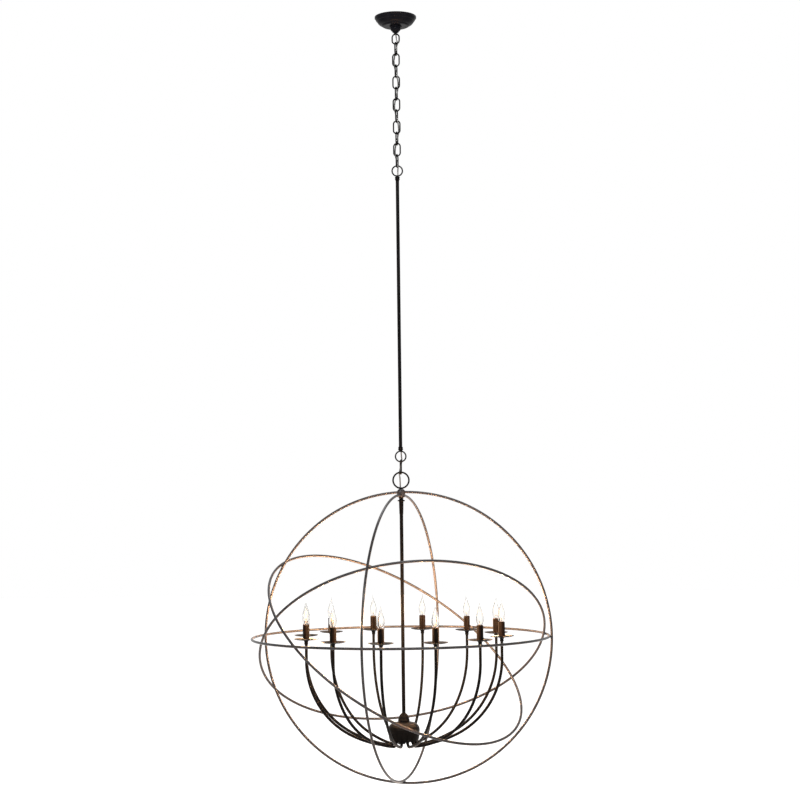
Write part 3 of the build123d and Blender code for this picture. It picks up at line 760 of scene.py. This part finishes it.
def filament_line():
    """The filament's fine coil, which arches from one lead wire's head to the other."""
    foot = bulb_height(FILAMENT_FOOT)
    count = FILAMENT_TURNS * FILAMENT_STEPS
    line = []
    for step in range(count + 1):
        share = step / count
        sweep = math.pi * share
        out, up = FILAMENT_REACH * math.cos(sweep), FILAMENT_RISE * math.sin(sweep)
        twirl = 2 * math.pi * FILAMENT_TURNS * share
        coil = Vector((0, math.cos(twirl), math.sin(twirl))) * FILAMENT_COIL
        line.append(Vector((out, 0, foot + up)) + coil)
    return line


def bulbs():
    """The twelve flame bulbs: bent-tip glass, a glass mount, lead wires and filament."""
    glass, mounts, leads, filaments = (bmesh.new() for _ in range(4))
    glass_section = glass_outline()
    mount_section = bulb_outline(MOUNT_SHAPE, MOUNT_STEPS)
    for _, place in light_places():
        lathe_into(glass, glass_section, place, GLASS_SIDES, tip_lean)
        lathe_into(mounts, mount_section, place, MOUNT_SIDES)
        for side in (1, -1):
            line = [place @ point for point in lead_line(side)]
            tube_into(leads, line, LEAD_RADIUS, LEAD_SIDES)
        line = [place @ point for point in filament_line()]
        tube_into(filaments, line, FILAMENT_RADIUS, FILAMENT_SIDES)
    new_piece("flame_bulbs", glass, GLASS, "orb", ["bulb_glass"])
    new_piece("bulb_mounts", mounts, GLASS, "orb")
    new_piece("bulb_leads", leads, LEAD_WIRE, "orb")
    new_piece("bulb_filaments", filaments, FILAMENT, "orb")


# --------------------------------------------------------------------------- cable


def on_axis(height):
    """The hanging axis at a height."""
    return Vector((0, 0, height))


def woven(height, quarter_turns, turn, half_corner=45):
    """Where the cable passes a joint: beside both wires, a quarter turn on each time."""
    azimuth = math.radians(45 + 90 * quarter_turns + turn)
    reach = CABLE_OFFSET / math.sin(math.radians(half_corner))
    return Vector((reach * math.cos(azimuth), reach * math.sin(azimuth), height))


def axis_turn(joint, square):
    """How far a joint's axis is turned from where a square chain would have it."""
    return math.degrees(math.atan2(joint["axis"][1], joint["axis"][0])) - square


def cable_route():
    """The route's points: the ceiling, the weave, the rod, the orb's ring, the splice."""
    chain = JOINT_HEIGHTS[: LINK_COUNT + 1]
    rod_joint, orb_joint = JOINT_HEIGHTS[-2:]
    chain_turn = axis_turn(frame["joints"][0], 0)
    half_turn = axis_turn(frame["joints"][-1], 90) / 2
    return [
        on_axis(0),
        on_axis(chain[0] + LOOP_LENGTH - LOOP_TO_AXIS),
        *(woven(height + HANG / 2, number, chain_turn) for number, height in enumerate(chain)),
        on_axis(chain[-1] + HANG - ROD_RING + UPPER_RING_TO_AXIS),
        on_axis(rod_joint + ROD_RING - LOWER_RING_TO_AXIS),
        woven(rod_joint + HANG / 2, 0, half_turn, 45 + half_turn),
        woven(orb_joint + ORB_HANG / 2, 1, half_turn, 45 - half_turn),
        on_axis(orb_joint + ORB_HANG - ORB_RING_TO_AXIS),
        on_axis(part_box("wire_splice")[1].z),
    ]


def cable_line():
    """Points along the cable's smooth line, read from a spline on the route's points."""
    route = cable_route()
    curve = bpy.data.curves.new("cable_route", "CURVE")
    curve.dimensions = "3D"
    curve.resolution_u = 10
    spline = curve.splines.new("NURBS")
    spline.points.add(len(route) - 1)
    for spot, point in zip(spline.points, route):
        spot.co = (*point, 1.0)
    spline.order_u = 3
    spline.use_endpoint_u = True
    holder = add_object("cable_route", curve)
    bpy.context.view_layer.update()
    line = bpy.data.meshes.new_from_object(holder)
    points = [vertex.co.copy() for vertex in line.vertices]
    bpy.data.objects.remove(holder)
    bpy.data.meshes.remove(line)
    return points


def cut_at(points, height):
    """The point of the line at a height, and the number of the point that follows it."""
    number = next(n for n, point in enumerate(points) if n and point.z <= height)
    above, below = points[number - 1], points[number]
    share = (above.z - height) / max(above.z - below.z, TINY)
    return above.lerp(below, share), number


def without_doubles(points):
    """The points, without any that is in the same place as the one before it."""
    pairs = zip(points, points[1:])
    return points[:1] + [point for last, point in pairs if (point - last).length > SAME_PLACE]


def cable():
    """The cable in lengths that each bend across one joint, cut halfway between joints."""
    points = cable_line()
    halfway = [(upper + lower) / 2 for upper, lower in zip(JOINT_HEIGHTS, JOINT_HEIGHTS[1:])]
    cuts = [0.0, *halfway, points[-1].z]
    for number, joint in enumerate(frame["joints"]):
        start, first = cut_at(points, cuts[number] - TINY)
        end, last = cut_at(points, cuts[number + 1])
        bm = bmesh.new()
        stretch = without_doubles([start] + points[first:last] + [end])
        tube_into(bm, stretch, CABLE_DIAMETER / 2, CABLE_SIDES)
        piece = new_piece(f"supply_cable_{number + 1:02d}", bm, CORD)
        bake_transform(piece)
        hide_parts("supply_cable")


# ---------------------------------------------------------------- lights and camera


def bulb_lights():
    """Warm light from each bulb, carried by the orb."""
    for number, place in light_places():
        lamp = bpy.data.lights.new(f"bulb_light_{number + 1:02d}", "POINT")
        lamp.energy = BULB_WATTS
        lamp.color = BULB_COLOUR
        lamp.shadow_soft_size = BULB_GLOW_RADIUS
        holder = add_object(lamp.name, lamp)
        holder.location = place @ Vector((0, 0, bulb_height(BULB_GLOW_HEIGHT)))
        holder.parent = frame["bodies"]["orb"]
        holder.visible_transmission = False


def softbox(name, place, size, watts):
    """A rectangular studio light that faces the orb's centre."""
    lamp = bpy.data.lights.new(name, "AREA")
    lamp.shape = "RECTANGLE"
    lamp.size, lamp.size_y = size
    lamp.energy = watts
    holder = add_object(name, lamp)
    holder.location = place
    facing = Vector((0, 0, ORB_CENTRE)) - Vector(place)
    holder.rotation_euler = facing.to_track_quat("-Z", "Y").to_euler()


def surround():
    """A soft even surround, which the camera, metal and glass see as white."""
    world = bpy.data.worlds.new("white_surround")
    bpy.context.scene.world = world
    world.use_nodes = True
    tree = world.node_tree
    background = tree.nodes["Background"]
    background.inputs["Color"].default_value = WHITE
    level = tree.nodes.new("ShaderNodeMapRange")
    level.inputs["To Min"].default_value = SURROUND_LIGHT
    level.inputs["To Max"].default_value = SURROUND_WHITE
    tree.links.new(white_rays(tree), level.inputs["Value"])
    tree.links.new(level.outputs[0], background.inputs["Strength"])


def pale_floor():
    """A floor under the hanging orb, which isn't part of the object."""
    bm = bmesh.new()
    bmesh.ops.create_grid(bm, x_segments=8, y_segments=8, size=FLOOR_REACH)
    middle = (0, FLOOR_MIDDLE, cad_box[0].z - FLOOR_DROP)
    bmesh.ops.translate(bm, verts=bm.verts, vec=middle)
    floor = new_piece("pale_floor", bm, white_ground("floor_white"))


def camera():
    """The photograph's view."""
    lens = bpy.data.cameras.new("view_camera")
    lens.lens = CAMERA_LENS
    lens.sensor_width = SENSOR_WIDTH
    lens.sensor_fit = "HORIZONTAL"
    holder = add_object("view_camera", lens)
    place = Matrix.Translation((0, -CAMERA_DISTANCE, ORB_CENTRE + CAMERA_ABOVE_ORB))
    turn = Matrix.Rotation(math.pi / 2 + CAMERA_PITCH, 4, "X")
    holder.matrix_world = place @ turn @ Matrix.Rotation(CAMERA_ROLL, 4, "Z")
    bpy.context.scene.camera = holder


dress_nodes()
for ring_name in RINGS:
    cage_ring(ring_name)
bulbs()
cable()
bulb_lights()
for box_name, box_facts in SOFTBOXES.items():
    softbox(box_name, *box_facts)
surround()
pale_floor()
camera()
bpy.context.scene.view_settings.view_transform = "Standard"
